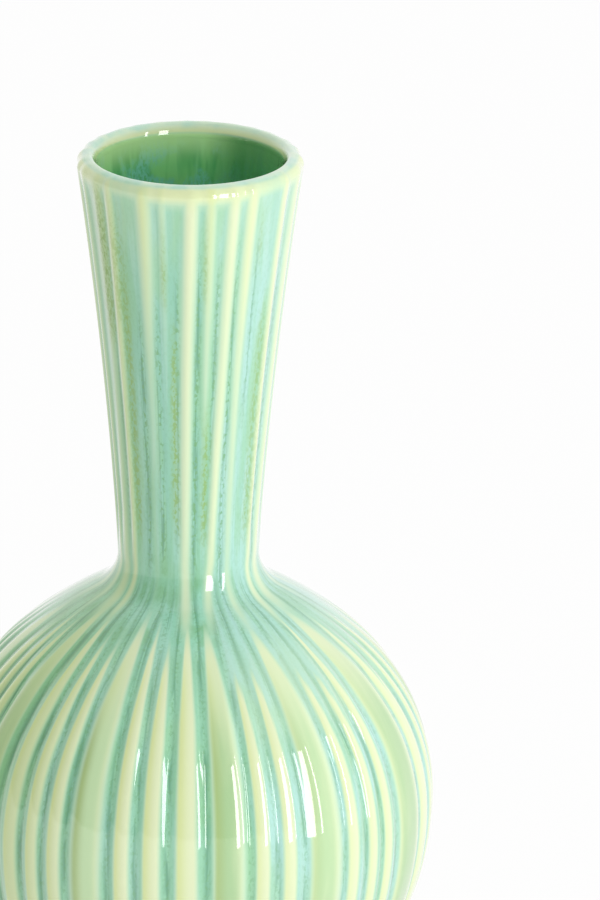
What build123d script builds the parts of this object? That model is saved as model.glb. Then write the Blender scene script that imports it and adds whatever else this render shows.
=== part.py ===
from build123d import *
from math import acos, asin, cos, degrees, radians, sin, tan
import os

os.makedirs("parts", exist_ok=True)

# A fluted stoneware bottle vase: a globular body with a long flared neck, built in sections that are
# luted together with slip. Millimetres, base centre at the origin, +Z up, front towards -Y.

# Body outline, over the crests of the ribs. Each curve is the radius of an arc in the outline.
height = 256.0
belly_radius = 70.0
belly_height = 65.0
lower_curve = 84.0
belly_curve = 63.0
shoulder_turn = 50.0
shoulder_curve = 121.0
collar_radius = 26.2

# Neck outline. The lean is the neck's slope from upright where its flare begins.
waist_radius = 20.1
waist_lean = 3.7
mouth_radius = 32.0

# Walls
wall = 6.0
floor_thickness = 6.0
neck_wall = 5.1
lip_wall = 5.8
lip_rounding = 3.4
inner_runs = 5

# Turned foot
foot_radius = 43.0
foot_width = 8.0
foot_height = 6.0
foot_chamfer = 1.2
bowl_rounding = 2.0

# Body flutes: sets of groups, and in each group one wide rib and then some narrow ones
flute_sets = 3
narrow_ribs = (2, 3, 3, 3)
narrow_rib_angle = 6.7
first_groove_angle = 5.0
groove_depth = 1.3
groove_slope = 26.0
groove_foot_height = 16.0
groove_top_radius = 30.0

# Neck flutes: wide shallow grooves that leave a narrow ridge between them
neck_flute_count = 24
neck_flute_depth = 0.8
neck_flute_slope = 17.0
neck_flute_start = 6.0

# Height by which each cutter clears the surface where its groove runs out
cutter_clearance = 0.4

# Luting slip: one ring in a keyway across each joint
slip_width = 2.4
slip_depth = 0.8

# Centres and ends of the outline's arcs, as (radius, height)
belly_centre = (belly_radius - belly_curve, belly_height)
lower_centre = (belly_radius - lower_curve, belly_height)
shoulder_centre = (
    belly_centre[0] - (shoulder_curve - belly_curve) * cos(radians(shoulder_turn)),
    belly_centre[1] - (shoulder_curve - belly_curve) * sin(radians(shoulder_turn)),
)


def shoulder_angle(radius, inset=0.0):
    # Angle on the shoulder's arc, or on one drawn inside it, at a radius from the vase's axis
    return degrees(acos((radius - shoulder_centre[0]) / (shoulder_curve - inset)))


def shoulder_height(radius, inset=0.0):
    angle = radians(shoulder_angle(radius, inset))
    return shoulder_centre[1] + (shoulder_curve - inset) * sin(angle)


def lower_angle(level, inset=0.0):
    # Angle on the lower bowl's arc, or on one drawn inside it, at a height above the table
    return degrees(asin((level - belly_height) / (lower_curve - inset)))


def lower_radius(level, inset=0.0):
    angle = radians(lower_angle(level, inset))
    return lower_centre[0] + (lower_curve - inset) * cos(angle)


collar_angle = shoulder_angle(collar_radius)
collar_height = shoulder_height(collar_radius)
collar_tangent = (-sin(radians(collar_angle)), cos(radians(collar_angle)))
collar_fillet = (collar_radius - waist_radius) / (cos(radians(waist_lean)) - cos(radians(collar_angle)))
waist_height = collar_height + collar_fillet * (sin(radians(collar_angle)) + sin(radians(waist_lean)))
waist_tangent = (sin(radians(waist_lean)), cos(radians(waist_lean)))
bore_radius = waist_radius - neck_wall
floor_height = foot_height + floor_thickness
lip_foot = height - lip_rounding
lip_crest = mouth_radius - lip_rounding
lip_inner_rounding = lip_wall - lip_rounding

# Keyways of the slip, each in the middle of its joint's face
foot_key_radius = foot_radius - foot_width / 2
belly_key_radius = belly_radius - (wall + groove_depth) / 2
collar_key_radius = (collar_radius + bore_radius) / 2


def slip_section(radius, joint_height):
    with BuildSketch(Plane.XZ) as section:
        with Locations((radius, joint_height)):
            Rectangle(slip_width, 2 * slip_depth)
    return section.sketch


# Places of the body grooves, counted round from the front
wide_rib_angle = (360 / flute_sets - sum(narrow_ribs) * narrow_rib_angle) / len(narrow_ribs)
groove_places = []
groove_angle = first_groove_angle - 90
for flute_set in range(flute_sets):
    for rib_count in narrow_ribs:
        for rib_angle in [wide_rib_angle] + [narrow_rib_angle] * rib_count:
            groove_places.append(Location((0, 0, 0), (0, 0, groove_angle)))
            groove_angle += rib_angle


def groove_section(bottom, direction, depth, slope):
    # The V of a groove, drawn across its path at a point of its bottom and opening outwards
    cutter_height = depth + 2 * cutter_clearance
    half_width = cutter_height / tan(radians(slope))
    with BuildSketch(Plane(bottom, x_dir=(0, 1, 0), z_dir=direction)) as section:
        with BuildLine():
            Polyline((0, 0), (half_width, -cutter_height), (-half_width, -cutter_height), close=True)
        make_face()
    return section.sketch


def inner_wall(centre, curve, start, turn):
    # Straight runs from end to end of an arc drawn one wall's thickness inside the outline
    arc = CenterArc(centre, curve - wall, start, turn, mode=Mode.PRIVATE)
    return Polyline(*[arc @ (run / inner_runs) for run in range(inner_runs + 1)])


def arc_degrees(arc):
    return degrees(arc.length / arc.radius)


def cut_in_turns(cutter, places):
    # Every third place at a time, so that neighbouring cutters never touch
    for turn in range(3):
        with Locations(*places[turn::3]):
            add(cutter, mode=Mode.SUBTRACT)


# Cutters for the body grooves. Below the belly a groove runs out above the foot, and above the belly
# it keeps its depth as far as the shoulder and then runs out at the collar.
with BuildLine(Plane.XZ) as groove_paths:
    belly_run = CenterArc(belly_centre, belly_curve - groove_depth, 0, shoulder_turn)
    upper_end = (groove_top_radius, shoulder_height(groove_top_radius) + cutter_clearance)
    upper_fade = TangentArc(belly_run @ 1, upper_end, tangent=belly_run % 1)
    lower_end = (lower_radius(groove_foot_height) + cutter_clearance, groove_foot_height)
    lower_fade = TangentArc(belly_run @ 0, lower_end, tangent=(0, -1))
belly_groove = groove_section(belly_run @ 0, belly_run % 0, groove_depth, groove_slope)

with BuildPart() as lower_groove:
    revolve(belly_groove, Axis(lower_fade.arc_center, (0, 1, 0)), arc_degrees(lower_fade))

with BuildPart() as upper_groove:
    revolve(belly_groove, Axis(belly_run.arc_center, (0, -1, 0)), shoulder_turn)
    run_end = upper_groove.faces().filter_by(GeomType.PLANE).sort_by(Axis.Z)[-1]
    revolve(run_end, Axis(upper_fade.arc_center, (0, -1, 0)), arc_degrees(upper_fade))

# Lower bowl: flat underside for the foot, floor, and grooves from the belly down
with BuildPart() as lower_bowl:
    with BuildSketch(Plane.XZ):
        with BuildLine():
            outside = CenterArc(lower_centre, lower_curve, 0, lower_angle(foot_height))
            inside = inner_wall(lower_centre, lower_curve, 0, lower_angle(floor_height, wall))
            Line(outside @ 0, inside @ 0)
            Polyline(inside @ 1, (0, floor_height), (0, foot_height), outside @ 1)
        make_face()
    revolve(axis=Axis.Z)
    fillet(lower_bowl.edges().filter_by(GeomType.CIRCLE).sort_by(Axis.Z)[0], bowl_rounding)
    revolve(slip_section(foot_key_radius, foot_height), Axis.Z, mode=Mode.SUBTRACT)
    revolve(slip_section(belly_key_radius, belly_height), Axis.Z, mode=Mode.SUBTRACT)
    cut_in_turns(lower_groove.part, groove_places)
lower_bowl.part.label = "lower_bowl"
export_step(lower_bowl.part, "parts/lower_bowl.step")

# Upper bowl: belly and shoulder, open at the collar to the neck's bore
with BuildPart() as upper_bowl:
    with BuildSketch(Plane.XZ):
        with BuildLine():
            belly = CenterArc(belly_centre, belly_curve, 0, shoulder_turn)
            shoulder = CenterArc(shoulder_centre, shoulder_curve, shoulder_turn, collar_angle - shoulder_turn)
            inner_belly = inner_wall(belly_centre, belly_curve, 0, shoulder_turn)
            bore_turn = shoulder_angle(bore_radius, wall) - shoulder_turn
            inner_shoulder = inner_wall(shoulder_centre, shoulder_curve, shoulder_turn, bore_turn)
            Line(belly @ 0, inner_belly @ 0)
            Polyline(inner_shoulder @ 1, (bore_radius, collar_height), shoulder @ 1)
        make_face()
    revolve(axis=Axis.Z)
    revolve(slip_section(belly_key_radius, belly_height), Axis.Z, mode=Mode.SUBTRACT)
    revolve(slip_section(collar_key_radius, collar_height), Axis.Z, mode=Mode.SUBTRACT)
    cut_in_turns(upper_groove.part, groove_places)
upper_bowl.part.label = "upper_bowl"
export_step(upper_bowl.part, "parts/upper_bowl.step")

# Cutter for a neck flute: it starts just above the waist and runs out over the lip
with BuildLine(Plane.XZ) as neck_paths:
    flare = TangentArc((waist_radius, waist_height), (mouth_radius, lip_foot), tangent=waist_tangent)
    flute_foot = flare @ (neck_flute_start / flare.length) + Vector(cutter_clearance, 0, 0)
    flute_middle = flare @ 0.5 - Vector(neck_flute_depth, 0, 0)
    flute_top = (mouth_radius - neck_flute_depth / 2, height)
    flute_path = ThreePointArc(flute_foot, flute_middle, flute_top)

with BuildPart() as neck_flute:
    flute_section = groove_section(flute_path @ 0, flute_path % 0, neck_flute_depth, neck_flute_slope)
    revolve(flute_section, Axis(flute_path.arc_center, (0, 1, 0)), arc_degrees(flute_path))

# Neck: a hollow flare that sweeps up from the collar to a thick round lip
with BuildPart() as neck:
    with BuildSketch(Plane.XZ):
        with BuildLine():
            collar = (collar_radius, collar_height)
            foot = JernArc(collar, collar_tangent, collar_fillet, -collar_angle - waist_lean)
            outside = TangentArc(foot @ 1, (mouth_radius, lip_foot), tangent=waist_tangent)
            CenterArc((lip_crest, lip_foot), lip_rounding, 0, 90)
            inner_lip = CenterArc((lip_crest, height - lip_inner_rounding), lip_inner_rounding, 90, 90)
            inside = TangentArc((bore_radius, waist_height), inner_lip @ 1, tangent=waist_tangent)
            Polyline(inside @ 0, (bore_radius, collar_height), foot @ 0)
        make_face()
    revolve(axis=Axis.Z)
    revolve(slip_section(collar_key_radius, collar_height), Axis.Z, mode=Mode.SUBTRACT)
    cut_in_turns(neck_flute.part, PolarLocations(0, neck_flute_count).locations)
neck.part.label = "neck"
export_step(neck.part, "parts/neck.step")

# Foot ring: unglazed, turned true on the underside, with softened edges to stand on
with BuildPart() as foot_ring:
    with BuildSketch(Plane.XZ):
        with Locations((foot_key_radius, foot_height / 2)):
            Rectangle(foot_width, foot_height)
    revolve(axis=Axis.Z)
    chamfer(foot_ring.edges().group_by(Axis.Z)[0], foot_chamfer)
    revolve(slip_section(foot_key_radius, foot_height), Axis.Z, mode=Mode.SUBTRACT)
foot_ring.part.label = "foot_ring"
export_step(foot_ring.part, "parts/foot_ring.step")

# Rings of luting slip, half in each of the two pieces that they join
slip_joints = {
    "foot_slip_joint": (foot_key_radius, foot_height),
    "belly_slip_joint": (belly_key_radius, belly_height),
    "collar_slip_joint": (collar_key_radius, collar_height),
}
for joint_name, (key_radius, joint_height) in slip_joints.items():
    with BuildPart() as slip_joint:
        revolve(slip_section(key_radius, joint_height), Axis.Z)
    slip_joint.part.label = joint_name
    export_step(slip_joint.part, f"parts/{joint_name}.step")
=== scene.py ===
import math
import bpy
import numpy as np
from mathutils import Matrix, Vector


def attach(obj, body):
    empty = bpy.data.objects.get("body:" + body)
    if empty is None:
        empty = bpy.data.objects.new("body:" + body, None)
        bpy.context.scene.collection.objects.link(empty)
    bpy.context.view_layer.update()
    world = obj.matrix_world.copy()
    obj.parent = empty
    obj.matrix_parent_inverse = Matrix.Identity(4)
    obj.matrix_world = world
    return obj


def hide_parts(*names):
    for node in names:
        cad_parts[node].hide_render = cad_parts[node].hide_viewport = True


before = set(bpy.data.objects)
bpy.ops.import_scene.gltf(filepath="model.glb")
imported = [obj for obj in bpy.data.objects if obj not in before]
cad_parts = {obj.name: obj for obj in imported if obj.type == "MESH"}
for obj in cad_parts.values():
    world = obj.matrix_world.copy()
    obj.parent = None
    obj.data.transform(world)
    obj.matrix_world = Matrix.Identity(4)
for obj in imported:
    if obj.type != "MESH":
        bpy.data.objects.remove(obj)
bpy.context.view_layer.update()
print("frame loaded:", ", ".join(sorted(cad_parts)))

mm = 0.001          # the vase is drawn in millimetres and scaled when a mesh is made; the studio is in metres
perMetre = 1000     # a material's object coordinates are in metres, and its patterns in millimetres
goldenStep = 0.618  # steps of this share of a turn never repeat


def smooth(low, high, value):
    t = np.clip((value - low) / (high - low), 0.0, 1.0)
    return t * t * (3.0 - 2.0 * t)


def between(rise, fall, value):
    return smooth(*rise, value) * (1 - smooth(*fall, value))


def bell(distance, halfWidth):
    return np.exp(-(distance / halfWidth) ** 2)


def most(first, *others):
    for other in others:
        first = np.maximum(first, other)
    return first


def varied(least, more, number):
    # for what is out of sight, so that no two neighbours are alike
    return least + more * (goldenStep * number % 1)


def linear(hexTone):
    tones = [int(hexTone[i:i + 2], 16) / 255 for i in (1, 3, 5)]
    return tuple(t / 12.92 if t <= 0.04045 else ((t + 0.055) / 1.055) ** 2.4 for t in tones) + (1.0,)


def addNode(tree, kind, settings=None, feeds=None, output=None):
    # feeds come in the order of the sockets or by socket: a socket to link, a hex tone or a plain value;
    # the socket that the node gives comes back
    node = tree.nodes.new("ShaderNode" + kind)
    for name, value in (settings or {}).items():
        setattr(node, name, value)
    bySocket = feeds if isinstance(feeds, dict) else dict(enumerate(feeds or ()))
    for socket, value in bySocket.items():
        if isinstance(value, bpy.types.NodeSocket):
            tree.links.new(value, node.inputs[socket])
        else:
            node.inputs[socket].default_value = linear(value) if isinstance(value, str) else value
    return node.outputs[output] if output else next(s for s in node.outputs if s.enabled)


# Outline over the rib crests, the same arcs as the turned solids
form = {
    "height": 256.0,
    "bellyRadius": 70.0, "bellyHeight": 65.0, "lowerCurve": 84.0, "bellyCurve": 63.0,
    "shoulderTurn": 50.0, "shoulderCurve": 121.0, "collarRadius": 26.2,
    "waistRadius": 20.1, "waistLean": 3.7, "mouthRadius": 32.0,
    "lipRound": 3.4, "lipWall": 5.8, "wall": 6.0, "neckWall": 5.1,
    "lipDrop": 4.8,  # height over which the glaze rounds the lip's inner edge
    "footHeight": 6.0, "floorHeight": 12.0, "footRound": 2.0,
    "skin": 0.03,    # the glazed surface stays this far inside the solids
    "segments": 540, "throatRows": 5,
    "steps": {       # from row to row of each run; the lip's inner round is first drawn on a unit circle
        "foot": 0.5, "lower": 2.0, "belly": 1.7, "shoulder": 1.5, "collar": 1.0, "flare": 2.2,
        "lipOuter": 0.42, "lipInner": 0.12, "bore": 2.6, "lowerWall": 3.0, "upperWall": 2.6,
    },
}


def arcPath(centre, radius, start, end, step):
    count = max(2, math.ceil(radius * math.radians(abs(end - start)) / step))
    turns = np.radians(np.linspace(start, end, count + 1))
    return np.stack([centre[0] + radius * np.cos(turns), centre[1] + radius * np.sin(turns)], 1)


def flarePath(start, lean, end, step):
    # arc that leaves start at that lean from upright and passes through end
    start, end = np.array(start), np.array(end)
    outward = np.array([math.cos(math.radians(lean)), -math.sin(math.radians(lean))])
    chord = end - start
    radius = chord @ chord / (2 * chord @ outward)
    centre = start + radius * outward
    turns = [math.degrees(math.atan2(*(p - centre)[::-1])) % 360 for p in (start, end)]
    return arcPath(centre, radius, turns[0], turns[1], step)


bellyCentre = (form["bellyRadius"] - form["bellyCurve"], form["bellyHeight"])
lowerCentre = (form["bellyRadius"] - form["lowerCurve"], form["bellyHeight"])
curveGap = form["shoulderCurve"] - form["bellyCurve"]
shoulderTurn = math.radians(form["shoulderTurn"])
shoulderCentre = (bellyCentre[0] - curveGap * math.cos(shoulderTurn),
                  bellyCentre[1] - curveGap * math.sin(shoulderTurn))
collarTurn = math.degrees(math.acos((form["collarRadius"] - shoulderCentre[0]) / form["shoulderCurve"]))
collarSlope = math.radians(collarTurn)
collarHeight = shoulderCentre[1] + form["shoulderCurve"] * math.sin(collarSlope)
waistLean = math.radians(form["waistLean"])
collarFillet = (form["collarRadius"] - form["waistRadius"]) / (math.cos(waistLean) - math.cos(collarSlope))
filletCentre = (form["collarRadius"] + collarFillet * math.cos(collarSlope),
                collarHeight + collarFillet * math.sin(collarSlope))
waistHeight = filletCentre[1] + collarFillet * math.sin(waistLean)
boreRadius = form["waistRadius"] - form["neckWall"]
lipCrest = form["mouthRadius"] - form["lipRound"]
lipFoot = form["height"] - form["lipRound"]
lipInset = form["lipWall"] - form["lipRound"]
mouthInner = (lipCrest - lipInset, form["height"] - form["lipDrop"])

# Rounding where the bowl's wall turns under to the foot
footLevel = form["footHeight"] + form["footRound"]
footReach = math.sqrt((form["lowerCurve"] - form["footRound"]) ** 2 - (footLevel - form["bellyHeight"]) ** 2)
footTurn = math.degrees(math.atan2(footLevel - form["bellyHeight"], footReach))
footCentre = (lowerCentre[0] + footReach, footLevel)

# One unbroken skin from the foot, over the lip and down the bore, so that the pieces meet without a crease
steps = form["steps"]
lipQuarter = arcPath((0, 0), 1, 90, 180, steps["lipInner"])
runs = {
    "foot": arcPath(footCentre, form["footRound"], -90, footTurn, steps["foot"]),
    "lower": arcPath(lowerCentre, form["lowerCurve"], footTurn, 0, steps["lower"]),
    "belly": arcPath(bellyCentre, form["bellyCurve"], 0, form["shoulderTurn"], steps["belly"]),
    "shoulder": arcPath(shoulderCentre, form["shoulderCurve"], form["shoulderTurn"], collarTurn,
                        steps["shoulder"]),
    "collar": arcPath(filletCentre, collarFillet, 180 + collarTurn, 180 - form["waistLean"], steps["collar"]),
    "flare": flarePath((form["waistRadius"], waistHeight), form["waistLean"],
                       (form["mouthRadius"], lipFoot), steps["flare"]),
    "lipOuter": arcPath((lipCrest, lipFoot), form["lipRound"], 0, 90, steps["lipOuter"]),
    "lipInner": np.array([lipCrest, mouthInner[1]]) + lipQuarter * (lipInset, form["lipDrop"]),
    "bore": flarePath((boreRadius, waistHeight), form["waistLean"], mouthInner, steps["bore"])[::-1],
    "throat": np.array([(boreRadius, z) for z in np.linspace(waistHeight, collarHeight, form["throatRows"])]),
}
path, rowRun, runStart = [], [], {}
for runName, points in runs.items():
    runStart[runName] = max(len(path) - 1, 0)
    fresh = points[1:] if path else points
    path += [tuple(p) for p in fresh]
    rowRun += [runName] * len(fresh)
path, rowRun = np.array(path), np.array(rowRun)
rowRadius, rowHeight = path[:, 0], path[:, 1]
level = rowHeight[:, None]
tangent = np.gradient(path, axis=0)
tangent /= np.linalg.norm(tangent, axis=1)[:, None]
rowNormal = np.stack([tangent[:, 1], -tangent[:, 0]], 1)
wallLength = np.concatenate([[0.0], np.cumsum(np.linalg.norm(np.diff(path, axis=0), axis=1))])
bellyRow, collarRow = runStart["belly"], runStart["collar"]
angles = np.arange(form["segments"]) * 360 / form["segments"] - 180  # from the front, positive to the right
sines, cosines = np.sin(np.radians(angles)), np.cos(np.radians(angles))
shape = (len(path), len(angles))
onBody = np.isin(rowRun, ["foot", "lower", "belly", "shoulder"])
onNeck = np.isin(rowRun, ["collar", "flare"])
onLip = np.isin(rowRun, ["lipOuter", "lipInner"])
onInnerLip = rowRun == "lipInner"
inBore = np.isin(rowRun, ["bore", "throat"])
print("outline:", len(path), "rows")

# Body flutes. Front grooves stand where the photograph has them, and the hidden ones follow the same order.
flutes = {
    "grooves": [-73.5, -68.2, -62.2, -50.8, -42.9, -36.7, -30.0, -19.1, -12.4, -4.7,
                4.7, 15.0, 21.7, 28.9, 39.9, 46.9, 52.8, 58.6, 72.0, 79.4],
    "ribs": "nnWnnnWnnnWnnWnnnWn",  # narrow and wide, from the left
    "tips": [124, 122, 127, 126, 121, 120, 126, 124.5, 121, 126,
             125, 115.5, 116.5, 124, 114.5, 113, 125, 125, 122],  # how high the cream of each rib goes
    "shades": [0.8, 0.1, 1.0, 0.5, 0.95],  # how dark the leaf green of each wide rib is, from the left
    "edges": [1.0, 1.0, 0.75, 0.3, 0.0],   # and how olive its left edge is
    "hiddenRibs": "nnWnnnWnnWnnnWnnnWnnnWnnWn",
    "narrow": 6.7, "wide": 11.575,  # degrees of the hidden ribs, before they are fitted to the space left
    "hiddenTips": (115.0, 9.0), "hiddenShades": (0.3, 0.4), "hiddenEdge": 0.4,  # pairs: least, and how much more
    # degrees by which the ribs draw together to the front, and the heights over which they do
    "drift": 2.4, "driftRise": (86.0, 122.0),
    "flanks": (5.0, 3.2),  # degrees of a rib's gentle left and steep right flank
    "crest": 0.6,          # share of a narrow rib that its left flank may take
    "hollow": 0.15,        # share of a flank that is hollow, next to the groove; the rest is round
    "crown": 0.22,         # share by which a wide rib still rises towards its middle
    "depth": 1.05, "footFade": (14.0, 42.0), "collarFade": (99.0, 124.0),
}
hiddenSpan = 360 - (flutes["grooves"][-1] - flutes["grooves"][0])
hiddenWidths = np.array([flutes["wide"] if kind == "W" else flutes["narrow"] for kind in flutes["hiddenRibs"]])
hiddenWidths *= hiddenSpan / hiddenWidths.sum()
grooves = np.concatenate([flutes["grooves"], flutes["grooves"][-1] + np.cumsum(hiddenWidths)])
ribKinds = flutes["ribs"] + flutes["hiddenRibs"]
ribTips = flutes["tips"] + [varied(*flutes["hiddenTips"], i) for i in range(len(flutes["hiddenRibs"]))]
ribShades, ribEdges = [], []
wideShades, wideEdges = iter(flutes["shades"]), iter(flutes["edges"])
for i, kind in enumerate(ribKinds):
    ribShades.append(next(wideShades, varied(*flutes["hiddenShades"], i)) if kind == "W" else 0.0)
    ribEdges.append(next(wideEdges, flutes["hiddenEdge"]) if kind == "W" else 0.0)

drift = flutes["drift"] * sines[None, :] * smooth(*flutes["driftRise"], level)
bearing = (angles[None, :] + drift - grooves[0]) % 360 + grooves[0]
ribOf = np.clip(np.searchsorted(grooves, bearing, side="right") - 1, 0, len(ribKinds) - 1)
ribWidth = np.diff(grooves)[ribOf]
across = (bearing - grooves[ribOf]) / ribWidth  # from 0 at a rib's left groove to 1 at its right
isWide = np.array([kind == "W" for kind in ribKinds])[ribOf]
tip, shade, edgeShare = (np.array(values)[ribOf] for values in (ribTips, ribShades, ribEdges))
leftFlank = np.minimum(flutes["flanks"][0], flutes["crest"] * ribWidth)
rightFlank = np.minimum(flutes["flanks"][1], (1 - flutes["crest"]) * ribWidth)
climb = np.minimum(np.minimum(across * ribWidth / leftFlank, (1 - across) * ribWidth / rightFlank), 1)
hollow = flutes["hollow"]
rib = np.where(climb < hollow, climb ** 2 / hollow, 1 - (1 - climb) ** 2 / (1 - hollow))
rib *= 1 - flutes["crown"] * isWide * (1 - np.sin(np.pi * across))
bodyDepth = flutes["depth"] * between(flutes["footFade"], flutes["collarFade"], rowHeight) * onBody
print("body flutes:", len(ribKinds), "ribs")

# Neck ridges, and the dark threads and olive lines between them
neck = {
    "levels": (121.0, 140.0, 196.0, 252.0),  # collar, waist, middle and lip
    "ridges": [  # angle and strength at those levels, half width, and how tan it is near the lip
        ((-68, -72, -72.5, -72), (0.4, 0.7, 0.7, 0.7), 1.3, 0.0),
        ((-53, -61, -58.5, -57), (0.75, 0.7, 0.45, 0.8), 1.7, 0.6),
        ((-45, -48.5, -49, -47.2), (0.7, 0.85, 0.9, 1.0), 1.05, 0.0),
        ((-24, -25.5, -26, -25.3), (0.0, 0.15, 0.45, 0.95), 1.5, 0.8),
        ((-15, -15, -15, -15), (0.0, 0.0, 0.15, 0.55), 1.0, 1.0),
        ((-0.8, -3, -1.6, 0.8), (0.7, 0.75, 0.9, 1.0), 1.35, 0.0),
        ((10, 11, 11, 11.3), (0.0, 0.0, 0.5, 0.75), 1.2, 1.0),
        ((10.5, 18, 21.8, 24), (0.45, 0.8, 0.85, 0.95), 1.25, 0.0),
        ((32, 33, 33, 34.6), (0.6, 0.45, 0.65, 1.0), 1.3, 0.3),
        ((51.5, 56.5, 57, 58.8), (0.7, 0.9, 0.95, 1.0), 1.05, 0.0),
        ((61, 70, 73, 74), (0.5, 0.9, 0.95, 1.0), 1.9, 0.0),
    ],
    "streaks": [  # angle at the waist and the lip, height from and to, half width, strength
        (-54.5, -51.5, 140, 252, 0.9, 0.5), (-32.5, -32.0, 132, 224, 0.85, 0.95),
        (-20.5, -20.5, 134, 228, 0.85, 0.95), (-7.8, -7.4, 138, 236, 0.7, 0.85),
        (4.2, 5.6, 130, 246, 0.8, 0.95), (16.0, 17.2, 162, 240, 0.7, 0.85),
        (26.5, 27.5, 125, 246, 0.8, 0.85), (39.5, 42.0, 178, 252, 0.5, 0.5), (62.5, 64.0, 126, 250, 1.3, 0.5),
    ],
    "olive": [
        (-43.0, -42.0, 142, 240, 1.4, 0.85), (-10.5, -9.8, 144, 222, 1.1, 0.8),
        (12.0, 12.5, 140, 194, 1.1, 0.8), (51.5, 52.0, 140, 226, 1.6, 0.6),
        (-57.0, -57.0, 200, 262, 2.6, 1.0), (-43.0, -44.5, 205, 256, 2.4, 0.6),
        (-14.0, -15.0, 214, 250, 0.8, 0.6), (8.5, 9.0, 214, 254, 0.7, 0.5), (42.5, 43.5, 226, 252, 0.9, 0.6),
    ],
    "hidden": (90.0, 276.0, 15),  # first and last angle and number of the ridges out of sight
    "hiddenSway": (1.6, 2.4),     # degrees and pace of their uneven spacing
    "hiddenTurns": (-3.0, -1.5, 0.0, 0.5),  # degrees at the levels
    "hiddenStrengths": (0.4, 0.9, 1.0), "hiddenWaist": (0.6, 0.35),  # collar, middle and lip; least and more
    "hiddenWidth": 1.25, "hiddenTan": 0.3,
    "hiddenStreak": (132, 240, 0.85, 0.8), "streakAside": (6.0, 6.5),  # beside each hidden ridge, in degrees
    "lineLevels": (130.0, 252.0), "lineFades": (14.0, 24.0),  # where a line has its two angles; fades at its ends
    "ridgeWidth": 1.6, "creamWidth": 1.8,  # times the half width at the mouth: the clay, and the cream over it
    "depth": 0.72, "depthRise": (134.0, 154.0),
    "lipFade": 246.0, "lipShare": 0.5,  # from there the ridges grow lower, to this share at the lip
}
ridges, streaks = list(neck["ridges"]), list(neck["streaks"])
sway, pace = neck["hiddenSway"]
asideWaist, asideLip = neck["streakAside"]
for i, base in enumerate(np.linspace(*neck["hidden"])):
    turns = [base + sway * math.sin(pace * i) + turn for turn in neck["hiddenTurns"]]
    atCollar, atMiddle, atLip = neck["hiddenStrengths"]
    strengths = (atCollar, varied(*neck["hiddenWaist"], i), atMiddle, atLip)
    ridges.append((turns, strengths, neck["hiddenWidth"], neck["hiddenTan"]))
    streaks.append((turns[1] + asideWaist, turns[3] + asideLip, *neck["hiddenStreak"]))


def apart(lineAngles):
    # millimetres round the vase from each vertex to a line that runs down it at those angles
    return ((angles[None, :] - lineAngles[:, None] + 180) % 360 - 180) * np.radians(rowRadius)[:, None]


ridgeRise, ridgeCream, ridgeTan, streak, olive = (np.zeros(shape) for _ in range(5))
narrowing = rowRadius[:, None] / form["mouthRadius"]  # the ridges narrow with the neck
for turns, strengths, width, tanned in ridges:
    gap = apart(np.interp(rowHeight, neck["levels"], turns))
    strength = np.interp(rowHeight, neck["levels"], strengths)[:, None]
    creamed = strength * bell(gap, neck["creamWidth"] * narrowing * width)
    np.maximum(ridgeRise, strength * bell(gap, neck["ridgeWidth"] * narrowing * width), out=ridgeRise)
    np.maximum(ridgeCream, creamed, out=ridgeCream)
    np.maximum(ridgeTan, tanned * creamed, out=ridgeTan)
fadeIn, fadeOut = neck["lineFades"]
for lines, lineMask in ((streaks, streak), (neck["olive"], olive)):
    for atWaist, atLip, low, high, width, strength in lines:
        gap = apart(np.interp(rowHeight, neck["lineLevels"], (atWaist, atLip)))
        reach = between((low, low + fadeIn), (high - fadeOut, high), level)
        np.maximum(lineMask, strength * reach * bell(gap, width), out=lineMask)
lipTurn = np.degrees(np.arctan2(rowHeight - lipFoot, rowRadius - lipCrest))
lipTurn = np.where(lipTurn < -90, lipTurn + 360, lipTurn)  # from 0 at the outside over 90 at the top
lipLoss = (1 - neck["lipShare"]) * smooth(neck["lipFade"], lipFoot, rowHeight)
neckDepth = neck["depth"] * smooth(*neck["depthRise"], rowHeight) * (1 - lipLoss) * onNeck
lipDepth = neck["lipShare"] * neck["depth"] * np.cos(np.radians(np.clip(lipTurn, 0, 90)))
neckDepth += lipDepth * (onLip & ~onInnerLip)
print("neck ridges:", len(ridges))

# Skin positions, displaced square to the outline, and the normals of the whole skin at once
inset = bodyDepth[:, None] * (1 - rib) + neckDepth[:, None] * (1 - np.clip(ridgeRise, 0, 1)) + form["skin"]
skinRadius = rowRadius[:, None] - inset * rowNormal[:, :1]
skinHeight = level - inset * rowNormal[:, 1:]
joinRows = [0, bellyRow, collarRow, -1]
skinHeight[joinRows] = level[joinRows]
skin = np.stack([skinRadius * sines, -skinRadius * cosines, skinHeight], 2)
alongRound = np.roll(skin, -1, 1) - np.roll(skin, 1, 1)
skinNormal = np.cross(alongRound, np.gradient(skin, axis=0))
skinNormal /= np.linalg.norm(skinNormal, axis=2)[:, :, None]

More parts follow.
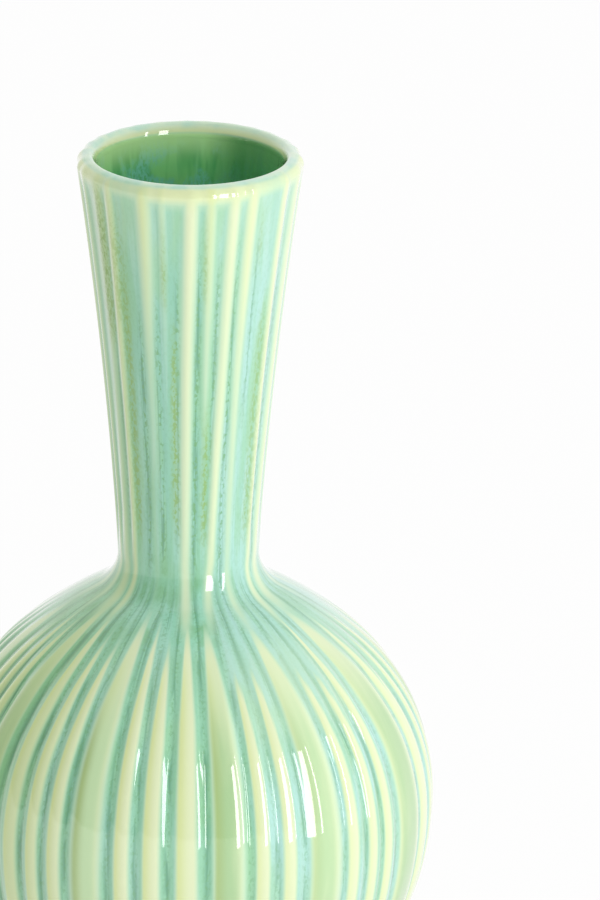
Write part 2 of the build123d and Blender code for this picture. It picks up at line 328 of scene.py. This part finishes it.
# Where the glaze breaks to cream, stays leaf green, pools, runs or stops, and where light and shade are painted
# into its tone. A pair is where something sets in
# or ends, and a pair of pairs is both: heights in mm, unless its note says otherwise.
coat = {
    "right": ((4.0, 30.0), (100.0, 150.0)),  # degrees to the right: the glaze lies thinner and paler, and the paleness is in part painted light on the side the lamps face
    "left": ((18.0, 64.0), (100.0, 140.0)),  # degrees to the left: thicker and yellower, and darkened, in part as painted shade on the side away from the lamps
    # a rib's cream, in shares of the rib from its left groove: its middle in front and what each degree to the
    # right adds, and its reach to the left and right, on a narrow rib (less on the right) and on a wide one
    "axis": (0.45, -0.0022), "axisFront": 75.0,  # degrees from the front, beyond which nothing is added
    "narrow": (0.28, 0.37), "narrowLoss": 0.22,
    "wide": (0.365, 0.49), "wideTurn": (-0.0022, 0.004),
    "creamFade": (0.3, 1.2), "creamFoot": (9.0, 24.0),  # in reaches, and above the foot
    # how the cream narrows and fades to a rib's tip
    "tipOver": 4.0, "tipLength": 24.0, "tipPower": 0.42, "tipLeast": 0.0004, "tipFade": (-9.0, 5.0),
    # faint cream between the ribs on the shoulder, and how much more on the right, in part painted light there
    "between": ((92.0, 106.0), (116.0, 130.0)), "betweenCream": (0.1, 0.16),
    "tanFade": (-0.7, 0.5), "tanTop": (112.0, 124.0), "tanLoss": 0.6,  # in reaches; top; less on the right
    # across a wide rib: its leaf green, which ends below the tip, and its left edge
    "leaf": ((0.1, 0.28), (0.62, 0.9)), "leafTip": (-30.0, -4.0), "leafLoss": 0.8,
    "edge": ((0.1, 0.18), (0.2, 0.5)), "edgeTop": (92.0, 112.0),
    # half width of the dark line in a groove, its heights, less on the right, and its share of dots
    "groove": 0.85, "grooveSpan": ((20.0, 40.0), (126.0, 138.0)), "grooveLoss": 0.25, "grooveDots": 0.45,
    # glaze that gathers at the collar, less on the right
    "pool": ((114.0, 126.0), (133.0, 150.0)), "poolShare": 0.75, "poolLoss": 0.7,
    "neckTone": (126.0, 160.0),
    # the right is less pale up the neck and in the grooves, and the left less yellow at the lip
    "paleNeck": (126.0, 165.0), "paleNeckLoss": 0.3, "paleGrooveLoss": 0.6,
    "warmTop": (248.0, 255.0), "warmLoss": 0.7,
    "ridge": (117.0, 130.0), "ridgeShare": 0.8, "ridgeTan": (190.0, 225.0),  # cream and tan on the neck's ridges
    "ridgeLip": (15.0, 75.0), "ridgeLipLoss": 0.5,  # degrees over the lip, from its outside
    "haze": (205.0, 246.0), "hazeShare": 0.2,       # faint cream up the flare
    "outerRim": (247.5, 254.0), "outerRimEnd": (40.0, 80.0),  # height, and degrees over the lip
    "outerCream": 0.85, "outerTan": 0.4,
    "green": 4, "greenAngle": 50.0, "greenLoss": 0.4,  # places round the rim where the glaze is thick and green
    "innerRim": ((105.0, 130.0), (150.0, 172.0)), "innerTan": 0.5,  # degrees over the lip
    "rimTop": ((45.0, 80.0), (115.0, 150.0)), "well": (145.0, 178.0),  # degrees over the lip
    "thick": (0.1, 0.6),       # painted shade on the right of the inside wall, by the sine of the angle
    "bare": (6.6, 7.4),
}
body, neckOnly, lip, innerLip, bore, overLip = (
    rows[:, None] for rows in (onBody, onNeck, onLip, onInnerLip, inBore, lipTurn))
outside = ~bore
rightward, leftward = between(*coat["right"], angles), between(*coat["left"], -angles)
frontAngles = np.where(np.abs(angles) < coat["axisFront"], angles, 0)
narrowShare = 1 - coat["narrowLoss"] * rightward
reachLeft, reachRight = (np.where(isWide, coat["wide"][side] + coat["wideTurn"][side] * frontAngles,
                                  coat["narrow"][side] * narrowShare) for side in (0, 1))
axis = coat["axis"][0] + coat["axis"][1] * frontAngles
fromAxis = (across - axis) / np.where(across < axis, reachLeft, reachRight)
taper = np.clip((tip + coat["tipOver"] - level) / coat["tipLength"], coat["tipLeast"], 1) ** coat["tipPower"]
ribCream = (1 - smooth(*coat["creamFade"], np.abs(fromAxis) / taper)) * smooth(*coat["creamFoot"], level) * body
ribCream = ribCream * (1 - smooth(*coat["tipFade"], level - tip))
ribTan = (1 - smooth(*coat["tanFade"], fromAxis)) * (1 - smooth(*coat["tanTop"], level))
ribTan = ribTan * (1 - coat["tanLoss"] * rightward)
betweenCream = coat["betweenCream"][0] + coat["betweenCream"][1] * rightward
betweenCream = betweenCream * between(*coat["between"], level) * outside
leafGreen = isWide * between(*coat["leaf"], across) * body
leafGreen = leafGreen * (1 - coat["leafLoss"] * smooth(*coat["leafTip"], level - tip))
wideEdge = edgeShare * between(*coat["edge"], across) * (1 - smooth(*coat["edgeTop"], level)) * body
neckCream = coat["ridgeShare"] * ridgeCream * smooth(*coat["ridge"], level) * outside
neckCream = neckCream * (1 - coat["ridgeLipLoss"] * smooth(*coat["ridgeLip"], overLip) * lip)
haze = coat["hazeShare"] * smooth(*coat["haze"], level) * outside
greener = (0.5 + 0.5 * np.cos(coat["green"] * np.radians(angles - coat["greenAngle"]))) ** 2
outerRim = smooth(*coat["outerRim"], level) * (1 - smooth(*coat["outerRimEnd"], overLip)) * outside
outerRim = outerRim * (1 - coat["greenLoss"] * greener)
innerRim = between(*coat["innerRim"], overLip) * innerLip
fromGroove = np.minimum(across, 1 - across) * ribWidth * np.radians(rowRadius)[:, None]
grooveStreak = bell(fromGroove, coat["groove"]) * between(*coat["grooveSpan"], level) * outside
grooveStreak = grooveStreak * (1 - coat["grooveLoss"] * rightward)
neckStreak = streak * neckOnly
paleShare = 1 - coat["paleNeckLoss"] * smooth(*coat["paleNeck"], level)
paleShare = paleShare * (1 - coat["paleGrooveLoss"] * grooveStreak)
masks = {
    "cream": most(ribCream, betweenCream, neckCream, haze, coat["outerCream"] * outerRim, innerRim),
    "tan": most(ribTan, coat["outerTan"] * outerRim + coat["innerTan"] * innerRim,
                ridgeTan * smooth(*coat["ridgeTan"], level) * outside),
    "leaf": leafGreen,
    "shade": shade * body,
    "streak": most(grooveStreak, neckStreak),
    "dots": most(coat["grooveDots"] * grooveStreak, neckStreak),
    "edge": wideEdge,
    "olive": olive * neckOnly,
    "pool": coat["poolShare"] * between(*coat["pool"], level) * (1 - coat["poolLoss"] * rightward) * outside,
    "neckShare": smooth(*coat["neckTone"], level) * outside,
    # paler on the right: thinner glaze, and in part painted light
    "pale": rightward * outside * paleShare,
    # darker and yellower on the left, in part painted shade
    "warm": leftward * outside * (1 - coat["warmLoss"] * smooth(*coat["warmTop"], level)),
    # painted shade: the inside wall is darkened on the right
    "thick": smooth(*coat["thick"], sines) * (bore | innerLip),
    "rim": between(*coat["rimTop"], overLip) * lip,
    "well": most(bore, smooth(*coat["well"], overLip) * innerLip),
    "bare": (1 - smooth(*coat["bare"], level)) * body,
}
masks = {name: np.broadcast_to(mask, shape) for name, mask in masks.items()}
# Runs follow the wall: across at one radius, so that they keep to the meridians, and down by the wall's length
runRadius = 34.0
glazeRun = np.stack(np.broadcast_arrays(runRadius * sines, -runRadius * cosines, wallLength[:, None]), 2)
print("glaze masks:", ", ".join(masks))


def circle(radius, height, turns):
    return np.stack([radius * np.sin(turns), -radius * np.cos(turns), np.full(len(turns), height)], 1)


def bridge(low, high, lowCount, highCount):
    # faces between two rings of points that start at low and high; a ring of one point closes the form
    count = max(lowCount, highCount)
    column = np.arange(count)
    following = np.roll(column, -1)
    corners = [low + column, low + following, high + following, high + column]
    if lowCount == 1:
        corners = [np.full(count, low)] + corners[2:]
    elif highCount == 1:
        corners = corners[:2] + [np.full(count, high)]
    return np.stack(corners, 1).tolist()


def turnedPiece(name, before, rows, after, closed):
    # before and after are plain rings (radius, height, mask), and rows a stretch of the skin
    stages = [*before, *rows, *after]
    onSkin = [not isinstance(stage, tuple) for stage in stages]
    points, normals, runPoints, marks = [], [], [], {m: [] for m in masks}
    for stage, skinned in zip(stages, onSkin):
        if skinned:
            points.append(skin[stage])
            normals.append(skinNormal[stage])
            runPoints.append(glazeRun[stage])
            for m in masks:
                marks[m].append(masks[m][stage])
        else:
            radius, height, marked = stage
            count = 1 if radius == 0 else len(angles)
            ring = circle(radius, height, np.radians(angles))[:count]
            points.append(ring)
            normals.append(np.zeros((count, 3)))  # a zero normal leaves it to Blender
            runPoints.append(ring)
            for m in masks:
                marks[m].append(np.full(count, float(m == marked)))
    counts = [len(ring) for ring in points]
    starts = np.cumsum([0] + counts)
    faces, faceSkin = [], []
    for low in range(len(stages) if closed else len(stages) - 1):
        high = (low + 1) % len(stages)
        fresh = bridge(starts[low], starts[high], counts[low], counts[high])
        faces += fresh
        faceSkin += [onSkin[low] and onSkin[high] and high > low] * len(fresh)
    mesh = bpy.data.meshes.new(name)
    mesh.from_pydata((np.concatenate(points) * mm).tolist(), [], faces)
    mesh.polygons.foreach_set("use_smooth", [True] * len(mesh.polygons))
    normals = np.concatenate(normals)
    plain = (0.0, 0.0, 0.0)
    mesh.normals_split_custom_set(
        [tuple(normals[v]) if skinned else plain for face, skinned in zip(faces, faceSkin) for v in face])
    for m in masks:
        values = np.concatenate(marks[m]).astype(np.float32)
        mesh.attributes.new(m, "FLOAT", "POINT").data.foreach_set("value", values)
    runData = np.concatenate(runPoints).astype(np.float32).ravel()
    mesh.attributes.new("glazeRun", "FLOAT_VECTOR", "POINT").data.foreach_set("vector", runData)
    piece = bpy.data.objects.new(name, mesh)
    bpy.context.scene.collection.objects.link(piece)
    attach(piece, "root")
    print("piece", name, len(faces), "faces")
    return piece


# Joint faces with the keyways that hold the luting slip
joints = {
    "slipWidth": 2.4, "slipDepth": 0.8,
    "footKey": 39.0, "bellyKey": 66.35, "collarKey": (form["collarRadius"] + boreRadius) / 2,
    "footEdge": 43.0,  # outer edge of the face that stands on the foot ring
    "underRadii": (0, 6, 14, 24, 33), "floorRadii": (30, 14, 5, 0),  # plain rings under and on the floor
}


def keyway(middle, height, upward):
    # corners from the outside in, cut up (1) or down (-1) from a joint face
    far, near = middle + joints["slipWidth"] / 2, middle - joints["slipWidth"] / 2
    end = height + upward * joints["slipDepth"]
    return [(far, height, "bare"), (far, end, "bare"), (near, end, "bare"), (near, height, "bare")]


def wallRings(wall):
    return [(r, z, "well") for r, z in wall]


lowerInner = form["lowerCurve"] - form["wall"]
floorTurn = math.degrees(math.asin((form["floorHeight"] - form["bellyHeight"]) / lowerInner))
lowerWall = arcPath(lowerCentre, lowerInner, 0, floorTurn, steps["lowerWall"])
underside = [(r, form["footHeight"], "bare") for r in joints["underRadii"]]
footFace = keyway(joints["footKey"], form["footHeight"], 1)[::-1]
footFace += [(joints["footEdge"], form["footHeight"], "bare")]
floor = [(r, form["floorHeight"]) for r in joints["floorRadii"]]
bowl = turnedPiece(
    "fluted_bowl",
    underside + footFace,
    range(0, bellyRow + 1),
    keyway(joints["bellyKey"], form["bellyHeight"], -1) + wallRings(lowerWall) + wallRings(floor),
    False)
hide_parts("lower_bowl")

upperInner = form["shoulderCurve"] - form["wall"]
boreTurn = math.degrees(math.acos((boreRadius - shoulderCentre[0]) / upperInner))
shoulderWall = arcPath(shoulderCentre, upperInner, boreTurn, form["shoulderTurn"], steps["upperWall"])
bellyInner = form["bellyCurve"] - form["wall"]
bellyWall = arcPath(bellyCentre, bellyInner, form["shoulderTurn"], 0, steps["upperWall"])[1:]
shoulder = turnedPiece(
    "fluted_shoulder",
    [],
    range(bellyRow, collarRow + 1),
    keyway(joints["collarKey"], collarHeight, -1) + wallRings([(boreRadius, collarHeight)])
    + wallRings(shoulderWall) + wallRings(bellyWall) + keyway(joints["bellyKey"], form["bellyHeight"], 1)[::-1],
    True)
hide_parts("upper_bowl")

neckPiece = turnedPiece(
    "flared_neck",
    [],
    range(collarRow, len(path)),
    keyway(joints["collarKey"], collarHeight, 1)[::-1],
    True)
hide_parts("neck")

# Foot ring, turned true and left bare, with edges rubbed round
foot = {
    "outer": joints["footEdge"], "inner": 35.0, "height": form["footHeight"], "round": 1.2, "step": 0.3,
    "sides": (3.0, 4.6), "rubbed": 0.1,  # heights of the rings up its sides, and what its upper edges have lost
    "segments": 360, "sharp": 35.0,
}
footRings = [
    *arcPath((foot["outer"] - foot["round"], foot["round"]), foot["round"], -90, 0, foot["step"]),
    *[(foot["outer"], z) for z in foot["sides"]], (foot["outer"] - foot["rubbed"], foot["height"]),
    *[(r, z) for r, z, _ in keyway(joints["footKey"], foot["height"], -1)],
    (foot["inner"] + foot["rubbed"], foot["height"]), *[(foot["inner"], z) for z in foot["sides"][::-1]],
    *arcPath((foot["inner"] + foot["round"], foot["round"]), foot["round"], 180, 270, foot["step"]),
]
segments = foot["segments"]
footTurns = np.radians(np.arange(segments) * 360 / segments)
footPoints = np.concatenate([circle(r, z, footTurns) for r, z in footRings])
footFaces = []
for low in range(len(footRings)):
    high = (low + 1) % len(footRings)
    footFaces += bridge(low * segments, high * segments, segments, segments)
footMesh = bpy.data.meshes.new("turned_foot")
footMesh.from_pydata((footPoints * mm).tolist(), [], footFaces)
footMesh.polygons.foreach_set("use_smooth", [True] * len(footMesh.polygons))
footMesh.set_sharp_from_angle(angle=math.radians(foot["sharp"]))
footPiece = bpy.data.objects.new("turned_foot", footMesh)
bpy.context.scene.collection.objects.link(footPiece)
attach(footPiece, "root")
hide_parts("foot_ring")
print("piece turned_foot", len(footFaces), "faces")

softly, colours = {"interpolation_type": "SMOOTHSTEP"}, {"data_type": "RGBA"}
product, total = {"operation": "MULTIPLY"}, {"operation": "ADD"}


def newMaterial(name, surface):
    material = bpy.data.materials.new(name)
    material.use_nodes = True
    shader = material.node_tree.nodes["Principled BSDF"]
    for socket, value in surface.items():
        shader.inputs[socket].default_value = value
    return material, material.node_tree, shader


# Running glaze on dipped stoneware: clear and glossy, thin and cream over the ribs, where it has run off,
# thick and blue-green in the grooves, with fine specks and vertical runs, and deep green inside
glaze = {
    "tan": "#E3F0A6", "cream": "#EAF5C8", "mint": "#C2E8C4", "edge": "#ADC97A",
    "leaf": "#CFEDB8", "leafDark": "#AED39A",
    "teal": "#98D7B2", "neckTeal": "#94D4B9", "aqua": "#B2E4D9", "moss": "#98D392",
    "deep": "#5BA07C", "fleck": "#6FAE70", "olive": "#8DB84A",
    "collar": "#A2E4CB", "mottle": "#7DC18C", "rim": "#E2F7DA", "rimAqua": "#C6EEDC", "warm": "#E1ECCE",
    "wellRim": "#C8F4AC", "wellGreen": "#90DE90", "wellTeal": "#84D6BE", "wellDeep": "#62BD73",
    # the darkest well tone is painted shade, for the right of the inside wall
    "wellShade": "#4B9154", "clay": "#CDBB9A",
    # width and length in mm; real specks are about 0.1 mm, and are drawn coarser here so that they show
    "runs": {"run": (1.6, 26.0), "drip": (3.0, 16.0), "thread": (0.6, 11.0)},
    "spots": {"speck": (0.42, 0.75), "patch": (4.0, 6.0)},
    "waver": 0.5,        # by how much the runs and threads wander
    "noiseScale": 0.5,   # light and dark each take about one width and length
    "noiseDetail": 2.0,
    # noise from and to, and the share of the tone that these give, where it isn't from none to all
    "aquaShare": (0.32, 0.68, -0.3, 0.5), "mossShare": (0.42, 0.66, 0.0, 0.45), "patchShare": (0.42, 0.62),
    "poolShare": (0.7, 0.3, 0.45, 1.0), "deepShare": (0.4, 0.6, 0.08, 0.85),
    "fleckShare": (0.48, 0.64), "fleckPlaces": (0.0, 1.0, 0.1, 0.9),
    "leafShare": (0.25, 0.6, 0.7, 1.0), "oliveShare": (0.42, 0.6, 0.45, 1.0),
    "wander": (0.24, -0.12), "mintShare": (0.04, 0.5), "thinShare": (0.25, 0.85), "rimShare": 0.75,
    "wellDeepShare": (0.4, 0.6), "wellDots": (0.35, 0.6, 0.25, 1.0), "wellTealShare": (0.42, 0.56),
    "wellRimLevels": (0.2435, 0.2535), "wellShadeShare": 0.85,  # levels in metres
    "surface": {"IOR": 1.6, "Coat Weight": 1.0, "Coat IOR": 1.5, "Coat Roughness": 0.03},
    "roughness": (0.2, 0.8, 0.035, 0.07), "bareRoughness": 0.75,
    "ripple": 0.25, "rippleHeight": 0.00004,
}


def runningGlaze(name):
    g = glaze
    material, tree, shader = newMaterial(name, g["surface"])
    mask = {m: addNode(tree, "Attribute", {"attribute_name": m}, None, "Fac") for m in masks}
    along = addNode(tree, "Attribute", {"attribute_name": "glazeRun"}, None, "Vector")
    place = addNode(tree, "TexCoord", None, None, "Object")
    # noises as wide and long as the runs, threads, specks and patches
    grain = {}
    for sizes, vector, unit, waver in ((g["runs"], along, 1, g["waver"]), (g["spots"], place, perMetre, 0.0)):
        for feature, (width, length) in sizes.items():
            scaled = addNode(tree, "VectorMath", product, (vector, (unit / width, unit / width, unit / length)))
            grain[feature] = addNode(tree, "TexNoise", None, {
                "Vector": scaled, "Scale": g["noiseScale"],
                "Detail": g["noiseDetail"], "Distortion": waver}, "Fac")
    # pooled glaze: teal in the grooves, paler up the neck and on the right, in part painted light there, mossy
    # where it gathers
    pooled = addNode(tree, "Mix", colours, {0: mask["neckShare"], 6: g["teal"], 7: g["neckTeal"]})
    share = addNode(tree, "MapRange", softly, (grain["run"], *g["aquaShare"]))
    share = addNode(tree, "Math", {"operation": "ADD", "use_clamp": True}, (mask["pale"], share))
    pooled = addNode(tree, "Mix", colours, {0: share, 6: pooled, 7: g["aqua"]})
    share = addNode(tree, "MapRange", softly, (grain["drip"], *g["mossShare"]))
    pooled = addNode(tree, "Mix", colours, {0: share, 6: pooled, 7: g["moss"]})
    patch = addNode(tree, "MapRange", softly, (grain["patch"], *g["patchShare"]))
    gathered = addNode(tree, "Mix", colours, {0: patch, 6: g["collar"], 7: g["mottle"]})
    share = addNode(tree, "MapRange", softly, (grain["run"], *g["poolShare"]))
    share = addNode(tree, "Math", product, (mask["pool"], share))
    pooled = addNode(tree, "Mix", colours, {0: share, 6: pooled, 7: gathered})
    share = addNode(tree, "MapRange", softly, (grain["thread"], *g["deepShare"]))
    share = addNode(tree, "Math", product, (mask["streak"], share))
    pooled = addNode(tree, "Mix", colours, {0: share, 6: pooled, 7: g["deep"]})
    places = addNode(tree, "MapRange", None, (mask["dots"], *g["fleckPlaces"]))
    share = addNode(tree, "MapRange", softly, (grain["speck"], *g["fleckShare"]))
    share = addNode(tree, "Math", product, (places, share))
    pooled = addNode(tree, "Mix", colours, {0: share, 6: pooled, 7: g["fleck"]})
    # thin glaze on the crests: tan where it is thinnest, leaf green on the broad ribs, olive at their left edge
    thin = addNode(tree, "Mix", colours, {0: mask["tan"], 6: g["cream"], 7: g["tan"]})
    share = addNode(tree, "MapRange", softly, (grain["run"], *g["leafShare"]))
    share = addNode(tree, "Math", product, (mask["leaf"], share))
    leaf = addNode(tree, "Mix", colours, {0: mask["shade"], 6: g["leaf"], 7: g["leafDark"]})
    thin = addNode(tree, "Mix", colours, {0: share, 6: thin, 7: leaf})
    thin = addNode(tree, "Mix", colours, {0: mask["edge"], 6: thin, 7: g["edge"]})
    # mint where the thin glaze sets in, along an edge that wanders with the runs
    wander = addNode(tree, "Math", {"operation": "MULTIPLY_ADD"}, (grain["run"], *g["wander"]))
    breaking = addNode(tree, "Math", total, (mask["cream"], wander))
    share = addNode(tree, "MapRange", softly, (breaking, *g["mintShare"]))
    tone = addNode(tree, "Mix", colours, {0: share, 6: pooled, 7: g["mint"]})
    share = addNode(tree, "MapRange", softly, (breaking, *g["thinShare"]))
    tone = addNode(tree, "Mix", colours, {0: share, 6: tone, 7: thin})
    # olive lines on the neck, the lip with its aqua patches, and the yellower, darker left side, in part painted
    # shade
    share = addNode(tree, "MapRange", softly, (grain["speck"], *g["oliveShare"]))
    share = addNode(tree, "Math", product, (mask["olive"], share))
    tone = addNode(tree, "Mix", colours, {0: share, 6: tone, 7: g["olive"]})
    share = addNode(tree, "Math", product, (mask["rim"], g["rimShare"]))
    rimTone = addNode(tree, "Mix", colours, {0: patch, 6: g["rim"], 7: g["rimAqua"]})
    tone = addNode(tree, "Mix", colours, {0: share, 6: tone, 7: rimTone})
    # painted shade: the left side is tinted darker and yellower
    tinting = {"data_type": "RGBA", "blend_type": "MULTIPLY"}
    tone = addNode(tree, "Mix", tinting, {0: mask["warm"], 6: tone, 7: g["warm"]})
    # inside, one thick coat that hangs in patches, paler at the mouth, with painted shade on the right of the
    # inside wall
    share = addNode(tree, "MapRange", softly, (grain["drip"], *g["wellDeepShare"]))
    within = addNode(tree, "Mix", colours, {0: share, 6: g["wellGreen"], 7: g["wellDeep"]})
    dotted = addNode(tree, "MapRange", softly, (grain["speck"], *g["wellDots"]))
    share = addNode(tree, "MapRange", softly, (grain["patch"], *g["wellTealShare"]))
    share = addNode(tree, "Math", product, (share, dotted))
    within = addNode(tree, "Mix", colours, {0: share, 6: within, 7: g["wellTeal"]})
    height = addNode(tree, "SeparateXYZ", None, (place,), "Z")
    share = addNode(tree, "MapRange", softly, (height, *g["wellRimLevels"]))
    within = addNode(tree, "Mix", colours, {0: share, 6: within, 7: g["wellRim"]})
    # painted shade: the right of the inside wall is darkened
    share = addNode(tree, "Math", product, (mask["thick"], g["wellShadeShare"]))
    within = addNode(tree, "Mix", colours, {0: share, 6: within, 7: g["wellShade"]})
    tone = addNode(tree, "Mix", colours, {0: mask["well"], 6: tone, 7: within})
    tone = addNode(tree, "Mix", colours, {0: mask["bare"], 6: tone, 7: g["clay"]})
    tree.links.new(tone, shader.inputs["Base Color"])
    gloss = addNode(tree, "MapRange", softly, (grain["speck"], *g["roughness"]))
    roughness = addNode(tree, "Mix", None, {0: mask["bare"], 2: gloss, 3: g["bareRoughness"]})
    tree.links.new(roughness, shader.inputs["Roughness"])
    ripple = addNode(tree, "Bump", None, {
        "Strength": g["ripple"], "Distance": g["rippleHeight"], "Height": grain["run"]})
    tree.links.new(ripple, shader.inputs["Normal"])
    return material


dippedGlaze = runningGlaze("running_glaze_on_dipped_stoneware")
for piece in (bowl, shoulder, neckPiece):
    piece.data.materials.append(dippedGlaze)

# Bare stoneware, turned on the wheel: buff and dry, with fine turning rings and grog specks
stoneware = {
    "pale": "#CDBB9A", "dark": "#B39C78", "speck": "#8A7357",
    "ring": 0.7, "grog": 0.5, "cloud": 11.0,  # mm
    "noiseDetail": 3.0, "speckShare": (0.62, 0.72), "ringWaver": 1.5,
    "surface": {"IOR": 1.5, "Roughness": 0.8},
    "bump": 0.4, "bumpHeight": 0.0001,
}


def bareStoneware(name, ringed):
    s = stoneware
    material, tree, shader = newMaterial(name, s["surface"])
    place = addNode(tree, "TexCoord", None, None, "Object")
    grog, cloud = (
        addNode(tree, "TexNoise", None, {"Vector": place, "Scale": scale, "Detail": s["noiseDetail"]}, "Fac")
        for scale in (perMetre / s["grog"] / 2, perMetre / s["cloud"]))
    tone = addNode(tree, "Mix", colours, {0: cloud, 6: s["pale"], 7: s["dark"]})
    share = addNode(tree, "MapRange", None, (grog, *s["speckShare"]))
    tone = addNode(tree, "Mix", colours, {0: share, 6: tone, 7: s["speck"]})
    tree.links.new(tone, shader.inputs["Base Color"])
    height = grog
    if ringed:
        # a wave's scale of one gives a ring every 2 pi / 20 units
        scale = perMetre / s["ring"] * 2 * math.pi / 20
        rings = addNode(tree, "TexWave", {"wave_type": "RINGS", "rings_direction": "Z"},
                        {"Vector": place, "Scale": scale, "Distortion": s["ringWaver"]}, "Fac")
        height = addNode(tree, "Math", total, (grog, rings))
    bump = addNode(tree, "Bump", None, {"Strength": s["bump"], "Distance": s["bumpHeight"], "Height": height})
    tree.links.new(bump, shader.inputs["Normal"])
    return material


footPiece.data.materials.append(bareStoneware("bare_stoneware_turned", True))
slip = bareStoneware("luting_slip_fired", False)  # the same clay, pressed into the joints, so without rings
for node in ("foot_slip_joint", "belly_slip_joint", "collar_slip_joint"):
    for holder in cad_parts[node].material_slots:
        holder.material = slip
print("materials:", ", ".join(m.name for m in bpy.data.materials))

# White table in a pale room, with a white wall behind the vase and less light on the camera's side.
# The table fills the picture, and keeps the vase's shadow.
studio = {
    "table": "#F4F4F2", "white": "#FFFFFF", "tableSize": 12.0, "tableDrop": 0.0002, "tableGlow": 0.95,
    "roomSide": (0.45, 0.89, 0.0),        # where the room is brightest
    "roomLight": (-0.6, 0.5, 0.54, 1.0),  # from and to how much towards that side, and least and most light
    "boxDistance": 0.7, "boxBottom": 0.0, "boxTop": 0.54,
    "boxes": [(33.0, 0.142, 1.45), (55.5, 0.045, 0.5)],  # degrees to the right of the camera, width, watts
}
tableHalf = studio["tableSize"] / 2
tableCorners = [(x * tableHalf, y * tableHalf, -studio["tableDrop"])
                for x, y in ((-1, -1), (1, -1), (1, 1), (-1, 1))]
tableMesh = bpy.data.meshes.new("table")
tableMesh.from_pydata(tableCorners, [], [(0, 1, 2, 3)])
table = bpy.data.objects.new("table", tableMesh)
bpy.context.scene.collection.objects.link(table)
# Matt white paper, overexposed: it gives the eye plain white, with a faint shadow
tableTop = bpy.data.materials.new("white_paper_matt")
tableTop.use_nodes = True
tree = tableTop.node_tree
tree.nodes.remove(tree.nodes["Principled BSDF"])
rays = addNode(tree, "LightPath").node.outputs
seen = addNode(tree, "Math", total, (rays["Is Camera Ray"], rays["Is Glossy Ray"]))
seen = addNode(tree, "Math", {"operation": "ADD", "use_clamp": True}, (seen, rays["Is Transmission Ray"]))
glow = addNode(tree, "Math", product, (seen, studio["tableGlow"]))
paper = addNode(tree, "BsdfDiffuse", None, {"Color": studio["table"]})
white = addNode(tree, "Emission", None, {"Color": studio["white"], "Strength": 1.0})
mixed = addNode(tree, "MixShader", None, (glow, paper, white))
tree.links.new(mixed, tree.nodes["Material Output"].inputs["Surface"])
tableMesh.materials.append(tableTop)

world = bpy.data.worlds.new("pale_room")
bpy.context.scene.world = world
world.use_nodes = True
tree = world.node_tree
background = tree.nodes["Background"]
background.inputs["Color"].default_value = linear(studio["white"])
direction = addNode(tree, "TexCoord", None, None, "Generated")
facing = addNode(tree, "VectorMath", {"operation": "DOT_PRODUCT"}, (direction, studio["roomSide"]), "Value")
brightness = addNode(tree, "MapRange", softly, (facing, *studio["roomLight"]))
tree.links.new(brightness, background.inputs["Strength"])

for turn, width, watts in studio["boxes"]:
    lamp = bpy.data.lights.new("softbox", "AREA")
    lamp.shape = "RECTANGLE"
    lamp.size, lamp.size_y = width, studio["boxTop"] - studio["boxBottom"]
    lamp.energy = watts
    box = bpy.data.objects.new("softbox", lamp)
    around = math.radians(turn)
    box.location = (studio["boxDistance"] * math.sin(around), -studio["boxDistance"] * math.cos(around),
                    (studio["boxTop"] + studio["boxBottom"]) / 2)
    box.rotation_euler = (math.radians(90), 0, around)
    box.visible_camera = False
    bpy.context.scene.collection.objects.link(box)
print("studio lit by", len(studio["boxes"]), "softboxes")

# Long lens from a little above, with the vase low and to the left, as the photograph frames it
shot = {
    "aim": (0.0, 0.0, 0.065), "aimPixel": (189.84, 790.02), "frame": (600, 900),
    "distance": 4.0, "elevation": 20.91, "lens": 561.45, "sensor": 36.0, "roll": 0.415, "farthest": 100.0,
}
pixelLength = shot["lens"] / shot["sensor"] * max(shot["frame"])
sideways = (shot["aimPixel"][0] - shot["frame"][0] / 2) / pixelLength
upwards = (shot["frame"][1] / 2 - shot["aimPixel"][1]) / pixelLength
down = math.radians(shot["elevation"])
pitch = -down - math.atan(upwards)
yaw = math.atan2(sideways, math.cos(pitch) - upwards * math.sin(pitch))
lens = bpy.data.cameras.new("camera")
lens.lens, lens.sensor_width = shot["lens"], shot["sensor"]
lens.clip_end = shot["farthest"]
camera = bpy.data.objects.new("camera", lens)
camera.matrix_world = (
    Matrix.Translation(Vector(shot["aim"]) + shot["distance"] * Vector((0, -math.cos(down), math.sin(down))))
    @ Matrix.Rotation(yaw, 4, "Z") @ Matrix.Rotation(math.pi / 2 + pitch, 4, "X")
    @ Matrix.Rotation(math.radians(shot["roll"]), 4, "Z"))
bpy.context.scene.collection.objects.link(camera)
bpy.context.scene.camera = camera
bpy.context.scene.view_settings.view_transform = "Standard"
print("camera placed")
